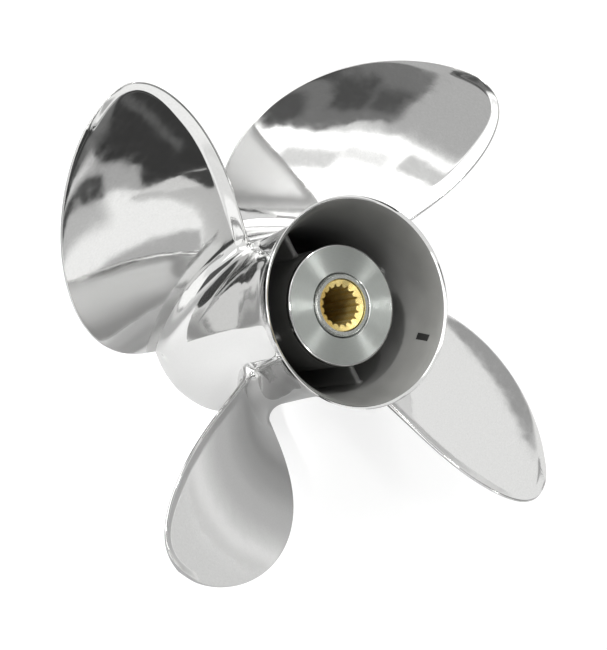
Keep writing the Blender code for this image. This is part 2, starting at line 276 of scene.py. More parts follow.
# Spots: name, place, target, angle in degrees, size of the source, power
SPOTS = (
    ("floor_spot_near", (0.50, 0.50, 0.80), (0.085, 0.09, 0.0), 17.0, 0.03, 76.0),
    ("floor_spot_far", (0.52, -0.44, 0.90), (0.27, -0.23, 0.0), 30.0, 0.06, 120.0),
    ("floor_spot_back", (-1.60, -0.50, 1.60), (-1.10, -0.36, 0.0), 60.0, 0.20, 25.0),
    ("flare_spot", (1.24, -0.38, 0.89), (-0.045, 0.010, 0.150), 4.6, 0.02, 60.0),
    ("flare_fill", (0.55, -0.79, 1.29), (-0.026, 0.047, 0.150), 3.4, 0.06, 150.0),
)


# Meshes

def smooth_profile(points, step):
    """Points about a step apart along a Catmull-Rom curve through (height, radius) pairs."""
    dense = []
    padded = [points[0], *points, points[-1]]
    for a, b, c, d in zip(padded, padded[1:], padded[2:], padded[3:]):
        a, b, c, d = (np.array(p) for p in (a, b, c, d))
        count = max(2, int(np.linalg.norm(c - b) / step))
        for t in np.arange(count) / count:
            dense.append(
                0.5 * (2 * b + (c - a) * t + (2 * a - 5 * b + 4 * c - d) * t * t
                       + (3 * b - a - 3 * c + d) * t ** 3)
            )
    dense.append(np.array(points[-1]))
    return np.array(dense)


def new_mesh(name, points, faces, materials, face_materials=None):
    mesh = bpy.data.meshes.new(name)
    mesh.from_pydata([tuple(p) for p in points], [], faces)
    for material in materials:
        mesh.materials.append(material)
    if face_materials is not None:
        mesh.polygons.foreach_set("material_index", face_materials)
    shape = bmesh.new()
    shape.from_mesh(mesh)
    bmesh.ops.recalc_face_normals(shape, faces=shape.faces)
    shape.to_mesh(mesh)
    shape.free()
    mesh.shade_smooth()
    mesh.set_sharp_from_angle(angle=SHARP_ANGLE)
    mesh.update()
    return mesh


def new_piece(name, mesh, replaced, turn=0.0):
    """Piece that stands for these CAD nodes, turned by an angle round the shaft."""
    piece = bpy.data.objects.new(name, mesh)
    piece.rotation_euler = (0.0, 0.0, turn)
    bpy.context.scene.collection.objects.link(piece)
    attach(piece, "root")
    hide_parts(*replaced)


def loft(rows, cap_ends=False, close=False):
    """Faces between rows of points that each go round once; close joins the last row to the first."""
    rows = np.array(rows)
    count, size = rows.shape[:2]
    faces = []
    for i in range(count if close else count - 1):
        k = (i + 1) % count
        for j in range(size):
            m = (j + 1) % size
            faces.append((i * size + j, i * size + m, k * size + m, k * size + j))
    if cap_ends:
        faces.append(tuple(range(size))[::-1])
        faces.append(tuple((count - 1) * size + j for j in range(size)))
    return rows.reshape(-1, 3), faces


def turned_rows(profile, angles):
    """One row of points round the axis for each (radius, height); either may differ by angle."""
    return [
        np.stack([r * np.cos(angles), r * np.sin(angles), np.full_like(angles, z)], axis=1)
        for r, z in profile
    ]


def turned_mesh(name, profile, columns, materials, profile_materials=None):
    """Closed solid of revolution; profile_materials gives the material of each profile edge."""
    angles = np.linspace(0.0, 2.0 * math.pi, columns, endpoint=False)
    points, faces = loft(turned_rows(profile, angles), close=True)
    by_face = None
    if profile_materials is not None:
        by_face = np.repeat(profile_materials, columns)
    return new_mesh(name, points, faces, materials, by_face)


def smoothstep(low, high, value):
    t = np.clip((value - low) / (high - low), 0.0, 1.0)
    return t * t * (3.0 - 2.0 * t)


# Barrel

OUTSIDE_CURVE = smooth_profile(BARREL_OUTSIDE, PROFILE_STEP)
INSIDE_CURVE = smooth_profile(BARREL_INSIDE, PROFILE_STEP)


def outside_radius(z):
    return np.interp(z, OUTSIDE_CURVE[:, 0], OUTSIDE_CURVE[:, 1])


def inside_radius(z):
    return np.interp(z, INSIDE_CURVE[:, 0], INSIDE_CURVE[:, 1])


def strake_turn(z):
    """Angle of the strakes' middle line at a height; they slant a little across the barrel."""
    t = np.clip((z - STRAKE_FRONT_Z) / (STRAKE_AFT_Z - STRAKE_FRONT_Z), 0.0, 1.0)
    return STRAKE_FRONT_ANGLE + (STRAKE_AFT_ANGLE - STRAKE_FRONT_ANGLE) * t


def strake_lift(z, off):
    """How far a strake raises the barrel's outer wall, at an angle off its middle line."""
    quarter = 2.0 * math.pi / BLADE_COUNT
    off = (off + quarter / 2.0) % quarter - quarter / 2.0
    radius = outside_radius(z)
    aside = np.abs(off) * radius
    foot_from = STRAKE_HALF_WIDTH - STRAKE_FOOT / 2.0
    side = 1.0 - smoothstep(foot_from, STRAKE_HALF_WIDTH + STRAKE_FOOT, aside)
    front = smoothstep(STRAKE_FRONT_Z - STRAKE_FOOT / 2.0, STRAKE_FRONT_Z + STRAKE_FOOT / 2.0, z)
    t = (z - STRAKE_FRONT_Z) / (STRAKE_AFT_Z - STRAKE_FRONT_Z)
    top = STRAKE_FRONT_TOP + (outside_radius(STRAKE_AFT_Z) - STRAKE_FRONT_TOP) * t
    height = np.maximum(top - radius, 0.0) * (z < STRAKE_AFT_Z)
    return side * front * height


def barrel_angles():
    """Columns round the barrel, counted from a strake's middle line and denser at each strake."""
    even = np.linspace(0.0, 2.0 * math.pi, BARREL_COLUMNS, endpoint=False)
    fine = []
    for number in range(BLADE_COUNT):
        middle = 2.0 * math.pi * number / BLADE_COUNT
        fine.append(middle + np.arange(-STRAKE_WINDOW, STRAKE_WINDOW, STRAKE_COLUMN_STEP))
    fine = np.concatenate(fine) % (2.0 * math.pi)
    kept = [a for a in even if np.abs((a - fine + math.pi) % (2 * math.pi) - math.pi).min()
            > STRAKE_COLUMN_STEP]
    return np.sort(np.concatenate([kept, fine]))


def make_barrel(polished, blasted):
    """Barrel with its flared ring and the four strakes on it."""
    zs = np.unique(np.concatenate([
        OUTSIDE_CURVE[:, 0],
        np.linspace(STRAKE_FRONT_Z - STRAKE_FOOT, STRAKE_FRONT_Z + STRAKE_FOOT, STRAKE_FRONT_ROWS),
    ]))
    columns = barrel_angles()
    rim_z = BARREL_OUTSIDE[-1][0]
    rows = []
    for z in zs[::-1]:
        radius = outside_radius(z) + strake_lift(z, columns)
        rows += turned_rows([(radius, min(z, rim_z - RIM_ROUND))], columns + strake_turn(z))
    outer_rows = len(rows)
    inside = [(r, z) for z, r in INSIDE_CURVE]
    inside[-1] = (inside[-1][0], inside[-1][1] - RIM_ROUND)
    for radius, z in inside:
        rows += turned_rows([(radius, z)], columns + strake_turn(z))
    rim_middle = (BARREL_INSIDE[-1][1] + BARREL_OUTSIDE[-1][1]) / 2.0
    rows += turned_rows([(rim_middle, rim_z)], columns + strake_turn(rim_z))
    points, faces = loft(rows, close=True)
    bright, cast = 0, 1
    edges = [bright] * outer_rows
    edges += [bright if z > LIP_Z else cast for _, z in inside[:-1]]
    edges += [bright] * 2
    by_face = np.repeat(edges, len(columns))
    mesh = new_mesh("barrel_skin", points, faces, [polished, blasted], by_face)
    strakes = [f"strake_{number + 1}" for number in range(BLADE_COUNT)]
    new_piece("barrel_skin", mesh, ["barrel", "diffuser_ring", *strakes])


# Blades

def half_angle(s):
    """Half of the blade's width as an angle, at a share s of the way from root to tip."""
    round_off = np.sqrt(np.clip(1.0 - s ** OUTLINE_POWER, 0.0, 1.0))
    return round_off * (ROOT_HALF_ANGLE + HALF_ANGLE_GAIN * s - HALF_ANGLE_LOSS * s ** 3)


def middle_angle(s):
    """Angle of the blade's middle line, swept back by the skew."""
    return -sum(amount * s ** (power + 1) for power, amount in enumerate(SKEW))


def middle_surface(radius, angle):
    """Points and unit normals of the blade's middle surface, a left-hand helicoid with rake."""
    rise = PITCH / (2.0 * math.pi)
    out = radius - RAKE_FROM_RADIUS
    z = BLADE_MIDDLE_Z + RAKE * out - RAKE_FALL * out * out - rise * angle
    slope = RAKE - 2.0 * RAKE_FALL * out
    cos, sin = np.cos(angle), np.sin(angle)
    points = np.stack([radius * cos, radius * sin, z], axis=-1)
    along = np.stack([cos, sin, slope + 0.0 * angle], axis=-1)
    around = np.stack([-radius * sin, radius * cos, -rise + 0.0 * angle], axis=-1)
    normals = np.cross(along, around)
    return points, normals / np.linalg.norm(normals, axis=-1, keepdims=True)


def outline_curve(count=400):
    """The blade's edge from the trailing root round the tip, with the cup's share and width there."""
    turn = np.linspace(0.0, math.pi, count)
    s = np.sin(turn)
    side = np.where(turn < math.pi / 2.0, -1.0, 1.0)
    radius = ROOT_RADIUS + (TIP_RADIUS - ROOT_RADIUS) * s
    points, _ = middle_surface(radius, middle_angle(s) + side * half_angle(s))
    share = np.where(side < 0, 1.0, smoothstep(CUP_FADE, 1.0, s))
    width = CUP_WIDTH_AT_TIP + CUP_WIDTH_GAIN * (1.0 - smoothstep(CUP_NARROW_FROM, 1.0, s))
    return points, share, width


def cup_lift(points):
    """Height of the cup: a flat lip along the trailing edge and round the tip, bent aft."""
    edge, share, width = outline_curve()
    lift = np.zeros(len(points))
    for i, point in enumerate(points):
        gap = np.sqrt(((edge - point) ** 2).sum(axis=1))
        nearest = gap.argmin()
        past_crease = width[nearest] - gap[nearest]
        rounded = (past_crease + math.hypot(past_crease, CUP_CREASE)) / 2.0
        lift[i] = CUP_SLOPE * share[nearest] * rounded
    return lift


def root_fillet(phase):
    """Radius of the fillet on the barrel round the blade's root: widest on the pressure side."""
    widest = np.where(phase < math.pi, PRESSURE_FILLET, SUCTION_FILLET)
    return EDGE_FILLET + (widest - EDGE_FILLET) * np.sqrt(np.abs(np.sin(phase)))


def blade_rows():
    """Closed section loops from just inside the barrel's wall out to the tip."""
    reach = TIP_RADIUS - ROOT_RADIUS
    phase = 2.0 * math.pi * np.arange(2 * SIDE_POINTS) / (2 * SIDE_POINTS)
    across = -np.cos(phase)
    face = np.where(phase < math.pi, 1.0, -1.0)
    face[[0, SIDE_POINTS]] = 0.0
    fillet = root_fillet(phase)
    none = np.zeros_like(fillet)
    rows = [section_loop(across, face, none - ROOT_SINK, fillet)]
    for turn in np.linspace(0.0, math.pi / 2.0, FILLET_ROWS):
        height = fillet * (1.0 - math.cos(turn))
        rows.append(section_loop(across, face, height, fillet * (1.0 - math.sin(turn))))
    for step in range(1, SPAN_ROWS + 1):
        span = math.sin(step / SPAN_ROWS * math.pi / 2.0 * TIP_CLOSE)
        rows.append(section_loop(across, face, fillet + (reach - fillet) * span, none))
    return rows


def section_loop(across, face, height, growth):
    """One loop round the blade at these heights off the barrel, pushed outwards by growth."""
    reach = TIP_RADIUS - ROOT_RADIUS
    s = np.clip(height / reach, 0.0, 1.0)
    share = smoothstep(0.0, ROOT_BLEND, height)
    half = half_angle(s)
    angle = middle_angle(s) + across * half
    radius = ROOT_RADIUS + height
    for _ in range(WALL_PASSES):
        points, normals = middle_surface(radius, angle)
        wall = outside_radius(points[:, 2])
        radius = (1.0 - share) * wall + share * ROOT_RADIUS + height
    points, normals = middle_surface(radius, angle)
    half_chord = half * np.hypot(radius, PITCH / (2.0 * math.pi))
    thickness = TIP_THICKNESS + (ROOT_THICKNESS - TIP_THICKNESS) * (1.0 - s) ** THICKNESS_TAPER
    edge_gain = EDGE_GAIN_AT_ROOT * np.exp(-np.maximum(height, 0.0) / EDGE_GAIN_FALL)
    edge_size = EDGE_THICKNESS * (1.0 + edge_gain)
    edge_share = np.clip(edge_size / 2.0 / half_chord, 0.0, EDGE_SHARE_LIMIT)
    to_edge = np.clip((np.abs(across) - 1.0 + edge_share) / edge_share, 0.0, 1.0)
    edge = edge_size * np.sqrt(1.0 - to_edge ** 2)
    fullness = (1.0 - across ** 2) ** SECTION_FULLNESS
    half_thick = (edge + np.maximum(thickness - edge_size, 0.0) * fullness) / 2.0
    lift = cup_lift(points) * smoothstep(CUP_FROM_HEIGHT, CUP_FULL_HEIGHT, height)
    loop = points + normals * (lift + face * half_thick)[:, None]
    if growth.max() > 0.0:
        loop = grown(loop, growth, height)
    return loop


def grown(loop, growth, height):
    """Push a root loop outwards over the barrel by the fillet's width."""
    ahead = np.roll(loop, -1, axis=0) - np.roll(loop, 1, axis=0)
    outwards = loop.copy()
    outwards[:, 2] = 0.0
    outwards /= np.linalg.norm(outwards, axis=1, keepdims=True)
    sideways = np.cross(ahead, outwards)
    sideways /= np.linalg.norm(sideways, axis=1, keepdims=True)
    centre = loop.mean(axis=0)
    if ((loop - centre) * sideways).sum() < 0.0:
        sideways = -sideways
    moved = loop + sideways * growth[:, None]
    radius = outside_radius(moved[:, 2]) + height
    moved[:, :2] *= (radius / np.linalg.norm(moved[:, :2], axis=1))[:, None]
    return moved


def make_blades(polished):
    points, faces = loft(blade_rows(), cap_ends=True)
    mesh = new_mesh("blade_skin", points, faces, [polished])
    for number in range(BLADE_COUNT):
        turn = 2.0 * math.pi * number / BLADE_COUNT
        new_piece(f"blade_skin_{number + 1}", mesh, [f"blade_{number + 1}"], turn)


# Inner hub, bushing and sleeve

def make_inner_hub(machined, blasted, bright):
    shoulder = HUB_AFT_Z - HUB_FLANGE
    profile = [
        (HUB_RADIUS - inwards * HUB_CHAMFER, HUB_AFT_Z - forwards * HUB_CHAMFER)
        for inwards, forwards in HUB_ROUNDING
    ]
    profile += [
        (HUB_RADIUS, HUB_AFT_Z - HUB_COLLAR),
        (HUB_BODY_RADIUS, HUB_AFT_Z - 2.0 * HUB_COLLAR),
        (HUB_BODY_RADIUS, HUB_FRONT_Z),
        (BUSHING_BORE_RADIUS, HUB_FRONT_Z),
        (BUSHING_BORE_RADIUS, shoulder),
        (HUB_HOLE_RADIUS, shoulder),
        (HUB_HOLE_RADIUS, HUB_AFT_Z - HUB_CHAMFER / 2.0),
        (HUB_HOLE_RADIUS + HUB_CHAMFER / 2.0, HUB_AFT_Z),
    ]
    turned, cast, shiny = 0, 1, 2
    by_edge = [turned] + [shiny] * 4 + [cast] * 2 + [turned] + [cast] * 2 + [turned, shiny, turned]
    mesh = turned_mesh("hub_skin", profile, HUB_COLUMNS, [machined, blasted, bright], by_edge)
    new_piece("hub_skin", mesh, ["inner_hub"])


def make_bushing(rubber, ring_steel):
    shoulder = HUB_AFT_Z - HUB_FLANGE
    bore = SLEEVE_RADIUS + GAP
    aft_low = AFT_RING_Z - AFT_RING_DEPTH
    front_top = FRONT_RING_Z + FRONT_RING_DEPTH
    mesh = turned_mesh("bushing_skin", [
        (HUB_HOLE_RADIUS - GAP, aft_low - GAP),
        (HUB_HOLE_RADIUS - GAP, shoulder - GAP),
        (BUSHING_BORE_RADIUS - GAP, shoulder - GAP),
        (BUSHING_BORE_RADIUS - GAP, front_top + GAP),
        (bore, front_top + GAP),
        (bore, aft_low - GAP),
    ], HUB_COLUMNS, [rubber])
    new_piece("bushing_skin", mesh, ["rubber_bushing"])
    mesh = turned_mesh("aft_ring_skin", [
        (AFT_RING_FACE_RADIUS, AFT_RING_Z),
        (AFT_RING_RADIUS - RING_EDGE_IN, AFT_RING_Z - RING_BEVEL + RING_EDGE_UP),
        (AFT_RING_RADIUS, AFT_RING_Z - RING_BEVEL),
        (AFT_RING_RADIUS, aft_low),
        (bore, aft_low),
        (bore, AFT_RING_Z),
    ], HUB_COLUMNS, [ring_steel])
    new_piece("aft_ring_skin", mesh, ["aft_ring"])
    mesh = turned_mesh("front_ring_skin", [
        (FRONT_RING_RADIUS, front_top),
        (FRONT_RING_RADIUS, FRONT_RING_Z + RING_BEVEL),
        (FRONT_RING_RADIUS - RING_BEVEL, FRONT_RING_Z),
        (bore, FRONT_RING_Z),
        (bore, front_top),
    ], HUB_COLUMNS, [ring_steel])
    new_piece("front_ring_skin", mesh, ["front_ring"])


def tooth_radius(angle):
    """Rounded teeth with pointed gaps between them."""
    pitch = 2.0 * math.pi / SPLINE_COUNT
    off = np.abs((angle / pitch) % 1.0 - 0.5) * 2.0
    gap = smoothstep(TOOTH_FLANK_FROM, TOOTH_FLANK_TO, off)
    return SPLINE_TIP_RADIUS + (SPLINE_ROOT_RADIUS - SPLINE_TIP_RADIUS) * gap


def make_sleeve(brass):
    """Splined sleeve with a mouth that slopes down to the teeth."""
    angles = np.linspace(0.0, 2.0 * math.pi, SPLINE_COUNT * TOOTH_COLUMNS, endpoint=False)
    teeth = tooth_radius(angles)
    rows = turned_rows([
        (SLEEVE_RADIUS - SLEEVE_CHAMFER, SLEEVE_AFT_Z),
        (SLEEVE_RADIUS, SLEEVE_AFT_Z - SLEEVE_CHAMFER),
        (SLEEVE_RADIUS, SLEEVE_FRONT_Z + SLEEVE_CHAMFER),
        (SLEEVE_RADIUS - SLEEVE_CHAMFER, SLEEVE_FRONT_Z),
        (teeth + SLEEVE_CHAMFER, SLEEVE_FRONT_Z),
        (teeth, SLEEVE_FRONT_Z + SLEEVE_CHAMFER),
        (teeth, SLEEVE_AFT_Z - SLEEVE_MOUTH * (SLEEVE_RADIUS - teeth)),
    ], angles)
    points, faces = loft(rows, close=True)
    mesh = new_mesh("sleeve_skin", points, faces, [brass])
    new_piece("sleeve_skin", mesh, ["spline_sleeve"])


def make_plug(rubber):
    """Plug with rounded edges in its pocket in the flare, its X axis up the slope."""
    step = PLUG_LENGTH / 2.0
    low = Vector((float(inside_radius(PLUG_Z - step)), 0.0, PLUG_Z - step))
    high = Vector((float(inside_radius(PLUG_Z + step)), 0.0, PLUG_Z + step))
    up_slope = (high - low).normalized()
    sideways = Vector((0.0, 1.0, 0.0))
    out_of_wall = up_slope.cross(sideways)
    turn = Matrix((up_slope, sideways, out_of_wall)).transposed().to_4x4()
    turn = turn @ Matrix.Rotation(PLUG_TILT, 4, "Z")
    middle = (low + high) / 2.0 + out_of_wall * (PLUG_STAND - PLUG_DEPTH / 2.0)
    bpy.ops.mesh.primitive_cube_add(size=1.0)
    plug = bpy.context.object
    plug.name = "plug_skin"
    size = (PLUG_LENGTH - 2.0 * GAP, PLUG_WIDTH - 2.0 * GAP, PLUG_DEPTH, 1.0)
    plug.data.transform(Matrix.Diagonal(size))
    plug.matrix_world = Matrix.Rotation(PLUG_AZIMUTH, 4, "Z") @ Matrix.Translation(middle) @ turn
    bevel = plug.modifiers.new("Rounded", "BEVEL")
    bevel.width = PLUG_ROUND
    bevel.segments = PLUG_ROUND_SEGMENTS
    plug.data.materials.append(rubber)
    plug.data.shade_smooth()
    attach(plug, "root")
    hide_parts("slot_plug")


def make_ribs(rib_steel_painted_light):
    """Webs with rounded ends and a fillet at the hub and at the barrel's wall."""
    hub = HUB_BODY_RADIUS - RIB_SINK_IN_HUB
    wall = float(inside_radius(0.5 * (RIB_FRONT_Z + RIB_AFT_Z)))
    length = RIB_AFT_Z - RIB_FRONT_Z - RIB_THICKNESS
    rows = []
    for t in np.linspace(0.0, 1.0, RIB_ROWS):
        nominal = hub + (wall - hub) * t
        foot = min(nominal - hub, wall - nominal)
        inside = max(0.0, RIB_FILLET - foot)
        growth = RIB_FILLET - math.sqrt(max(0.0, RIB_FILLET ** 2 - inside ** 2))
        half = RIB_THICKNESS / 2.0 + growth
        loop = []
        for end, sign in ((RIB_AFT_Z, 1.0), (RIB_FRONT_Z, -1.0)):
            middle = end - sign * RIB_THICKNESS / 2.0
            for turn in np.linspace(0.0, math.pi, RIB_END_POINTS):
                loop.append((half * math.cos(turn) * sign, middle + sign * half * math.sin(turn)))
            for share in np.linspace(0.0, 1.0, RIB_SIDE_POINTS)[1:-1]:
                loop.append((-half * sign, middle - sign * share * length))
        section = []
        for y, z in loop:
            outer = float(inside_radius(z)) + RIB_SINK_IN_WALL
            x = hub + (outer - hub) * t
            section.append((math.sqrt(max(x * x - y * y, 0.0)), y, z))
        rows.append(section)
    points, faces = loft(rows, cap_ends=True)
    mesh = new_mesh("rib_skin", points, faces, [rib_steel_painted_light])
    for number in range(RIB_COUNT):
        turn = 2.0 * math.pi * (number + 0.5) / RIB_COUNT
        new_piece(f"rib_skin_{number + 1}", mesh, [f"rib_{number + 1}"], turn)


# Materials

def new_material(name, colour, roughness, metallic):
    material = bpy.data.materials.new(name)
    material.use_nodes = True
    shader = material.node_tree.nodes["Principled BSDF"]
    shader.inputs["Base Color"].default_value = (*colour, 1.0)
    shader.inputs["Roughness"].default_value = roughness
    shader.inputs["Metallic"].default_value = metallic
    return material, material.node_tree, shader


def noise_node(tree, vector, scale, detail):
    node = tree.nodes.new("ShaderNodeTexNoise")
    node.inputs["Scale"].default_value = scale
    node.inputs["Detail"].default_value = detail
    tree.links.new(vector, node.inputs["Vector"])
    return node.outputs[0]


def map_range(tree, value, low, high, from_low=0.3, from_high=0.7):
    """Value mapped to low and high; the limits it comes from suit a noise unless they are given."""
    node = tree.nodes.new("ShaderNodeMapRange")
    tree.links.new(value, node.inputs["Value"])
    node.inputs["From Min"].default_value = from_low
    node.inputs["From Max"].default_value = from_high
    node.inputs["To Min"].default_value = low
    node.inputs["To Max"].default_value = high
    return node.outputs["Result"]


def bump_node(tree, height, depth, below=None):
    """Relief of the given depth in metres between heights 0 and 1."""
    node = tree.nodes.new("ShaderNodeBump")
    node.inputs["Strength"].default_value = 1.0
    node.inputs["Distance"].default_value = depth
    tree.links.new(height, node.inputs["Height"])
    if below is not None:
        tree.links.new(below, node.inputs["Normal"])
    return node.outputs[0]


def mix_colours(tree, factor, first, second):
    """Mix of two colours, each of them a value or the output of a node."""
    node = tree.nodes.new("ShaderNodeMix")
    node.data_type = "RGBA"
    tree.links.new(factor, node.inputs[0])
    for socket, colour in ((node.inputs[6], first), (node.inputs[7], second)):
        if isinstance(colour, tuple):
            socket.default_value = (*colour, 1.0)
        else:
            tree.links.new(colour, socket)
    return node.outputs[2]


def math_node(tree, operation, *inputs):
    node = tree.nodes.new("ShaderNodeMath")
    node.operation = operation
    for socket, value in zip(node.inputs, inputs):
        if isinstance(value, (int, float)):
            socket.default_value = value
        else:
            tree.links.new(value, socket)
    return node.outputs[0]


def turned_vector(tree, around, along=1.0):
    """Texture coordinates of radius, angle and height round the shaft, the last two scaled."""
    coordinates = tree.nodes.new("ShaderNodeTexCoord")
    split = tree.nodes.new("ShaderNodeSeparateXYZ")
    tree.links.new(coordinates.outputs["Object"], split.inputs[0])
    x, y, z = split.outputs
    squares = math_node(
        tree, "ADD", math_node(tree, "MULTIPLY", x, x), math_node(tree, "MULTIPLY", y, y)
    )
    radius = math_node(tree, "SQRT", squares)
    angle = math_node(tree, "ARCTAN2", y, x)
    join = tree.nodes.new("ShaderNodeCombineXYZ")
    tree.links.new(radius, join.inputs[0])
    tree.links.new(math_node(tree, "MULTIPLY", angle, around), join.inputs[1])
    tree.links.new(math_node(tree, "MULTIPLY", z, along), join.inputs[2])
    return join.outputs[0]


def object_vector(tree):
    return tree.nodes.new("ShaderNodeTexCoord").outputs["Object"]


def polished_steel():
    """Buffed stainless steel: near mirror, with lines that run round the shaft and slight waves."""
    material, tree, shader = new_material("polished_steel", (0.62, 0.62, 0.615), 0.05, 1.0)
    lines = noise_node(tree, turned_vector(tree, around=0.035), scale=1500.0, detail=2.0)
    broad = noise_node(tree, turned_vector(tree, around=0.05), scale=260.0, detail=3.0)
    waves = noise_node(tree, object_vector(tree), scale=32.0, detail=2.0)
    tree.links.new(mix_colours(tree, lines, (0.575, 0.575, 0.57), (0.665, 0.665, 0.66)),
                   shader.inputs["Base Color"])
    tree.links.new(map_range(tree, broad, low=0.03, high=0.085), shader.inputs["Roughness"])
    relief = bump_node(tree, waves, POLISH_WAVE)
    relief = bump_node(tree, broad, POLISH_BROAD, relief)
    relief = bump_node(tree, lines, POLISH_LINE, relief)
    tree.links.new(relief, shader.inputs["Normal"])
    return material


def blasted_steel(name, deep_colours, mouth_colours):
    """Cast steel, blasted and matte, with a fine grain; its colours change with the height as painted
    light and shade.
    """
    material, tree, shader = new_material(name, (0.42, 0.42, 0.40), 0.5, 0.20)
    grain = noise_node(tree, object_vector(tree), scale=2200.0, detail=3.0)
    patches = noise_node(tree, object_vector(tree), scale=60.0, detail=4.0)
    split = tree.nodes.new("ShaderNodeSeparateXYZ")
    tree.links.new(object_vector(tree), split.inputs[0])
    # Painted light and shade: the base colour moves from the deep colours to the mouth colours with the
    # height
    painted_light_share = map_range(tree, split.outputs[2], 0.0, 1.0, PAINTED_LIGHT_FROM_Z, PAINTED_LIGHT_TO_Z)
    deep = mix_colours(tree, patches, *deep_colours)
    mouth = mix_colours(tree, patches, *mouth_colours)
    tree.links.new(mix_colours(tree, painted_light_share, deep, mouth), shader.inputs["Base Color"])
    tree.links.new(map_range(tree, patches, low=0.42, high=0.56), shader.inputs["Roughness"])
    relief = bump_node(tree, patches, depth=0.00012)
    relief = bump_node(tree, grain, depth=0.00003, below=relief)
    tree.links.new(relief, shader.inputs["Normal"])
    return material


def machined_steel():
    """Turned face: fine rings round the shaft that draw the light out into rays."""
    material, tree, shader = new_material("machined_steel", (0.60, 0.63, 0.60), 0.40, 1.0)
    shader.inputs["Anisotropic"].default_value = 1.0
    shader.inputs["Anisotropic Rotation"].default_value = 0.25
    tangent = tree.nodes.new("ShaderNodeTangent")
    tangent.direction_type = "RADIAL"
    tangent.axis = "Z"
    tree.links.new(tangent.outputs[0], shader.inputs["Tangent"])
    rings = noise_node(tree, turned_vector(tree, around=0.002, along=0.02), scale=5200.0, detail=2.0)
    tree.links.new(mix_colours(tree, rings, (0.54, 0.57, 0.54), (0.68, 0.71, 0.68)),
                   shader.inputs["Base Color"])
    tree.links.new(map_range(tree, rings, low=0.37, high=0.43), shader.inputs["Roughness"])
    tree.links.new(bump_node(tree, rings, depth=0.000002), shader.inputs["Normal"])
    return material


def plated_ring():
    """Plated end rings of the bushing, turned and a little stained."""
    material, tree, shader = new_material("ring_steel", (0.55, 0.57, 0.54), 0.25, 1.0)
    rings = noise_node(tree, turned_vector(tree, around=0.003, along=0.05), scale=4000.0, detail=2.0)
    stains = noise_node(tree, object_vector(tree), scale=160.0, detail=3.0)
    tree.links.new(mix_colours(tree, stains, (0.68, 0.70, 0.67), (0.78, 0.80, 0.76)),
                   shader.inputs["Base Color"])
    tree.links.new(map_range(tree, rings, low=0.18, high=0.30), shader.inputs["Roughness"])
    tree.links.new(bump_node(tree, rings, depth=0.000003), shader.inputs["Normal"])
    return material


def machined_brass():
    """Brass with broaching lines along the teeth and a slight tarnish."""
    material, tree, shader = new_material("brass", (0.80, 0.60, 0.22), 0.3, 0.85)
    broaching = noise_node(tree, turned_vector(tree, around=0.35, along=0.01), scale=2500.0, detail=2.0)
    tarnish = noise_node(tree, object_vector(tree), scale=350.0, detail=3.0)
    tree.links.new(mix_colours(tree, tarnish, (0.78, 0.56, 0.15), (0.90, 0.78, 0.40)),
                   shader.inputs["Base Color"])
    tree.links.new(map_range(tree, broaching, low=0.20, high=0.38), shader.inputs["Roughness"])
    tree.links.new(bump_node(tree, broaching, depth=0.000014), shader.inputs["Normal"])
    return material


def black_rubber():
    """Moulded black rubber, matte, with a fine grain."""
    material, tree, shader = new_material("black_rubber", (0.008, 0.008, 0.008), 0.7, 0.0)
    grain = noise_node(tree, object_vector(tree), scale=1800.0, detail=3.0)
    tree.links.new(mix_colours(tree, grain, (0.004, 0.004, 0.004), (0.014, 0.0135, 0.013)),
                   shader.inputs["Base Color"])
    tree.links.new(map_range(tree, grain, low=0.6, high=0.8), shader.inputs["Roughness"])
    tree.links.new(bump_node(tree, grain, depth=0.00003), shader.inputs["Normal"])
    shader.inputs["Specular IOR Level"].default_value = 0.25
    return material


# Studio surroundings, lamps, floor and camera

def soft_inside(tree, distance, half, soft):
    """1 within half of the middle, falling to 0 over the soft edge."""
    node = tree.nodes.new("ShaderNodeMapRange")
    node.interpolation_type = "SMOOTHSTEP"
    tree.links.new(math_node(tree, "ABSOLUTE", distance), node.inputs["Value"])
    node.inputs["From Min"].default_value = half - soft
    node.inputs["From Max"].default_value = half + soft
    node.inputs["To Min"].default_value = 1.0
    node.inputs["To Max"].default_value = 0.0
    return node.outputs["Result"]


def add_card(tree, azimuth, elevation, below, card):
    """Lay one studio card over the light so far, by azimuth and elevation in degrees."""
    middle, half_width, height, half_height, slope, soft, light = card
    aside = math_node(tree, "WRAP", math_node(tree, "SUBTRACT", azimuth, middle), 180.0, -180.0)
    rise = math_node(tree, "SUBTRACT", elevation, height)
    rise = math_node(tree, "SUBTRACT", rise, math_node(tree, "MULTIPLY", aside, slope))
    mask = math_node(
        tree, "MULTIPLY",
        soft_inside(tree, aside, half_width, soft * SOFT_STRETCH),
        soft_inside(tree, rise, half_height, soft),
    )
    mix = tree.nodes.new("ShaderNodeMix")
    mix.data_type = "FLOAT"
    tree.links.new(mask, mix.inputs[0])
    tree.links.new(below, mix.inputs[2])
    mix.inputs[3].default_value = light
    return mix.outputs[0]


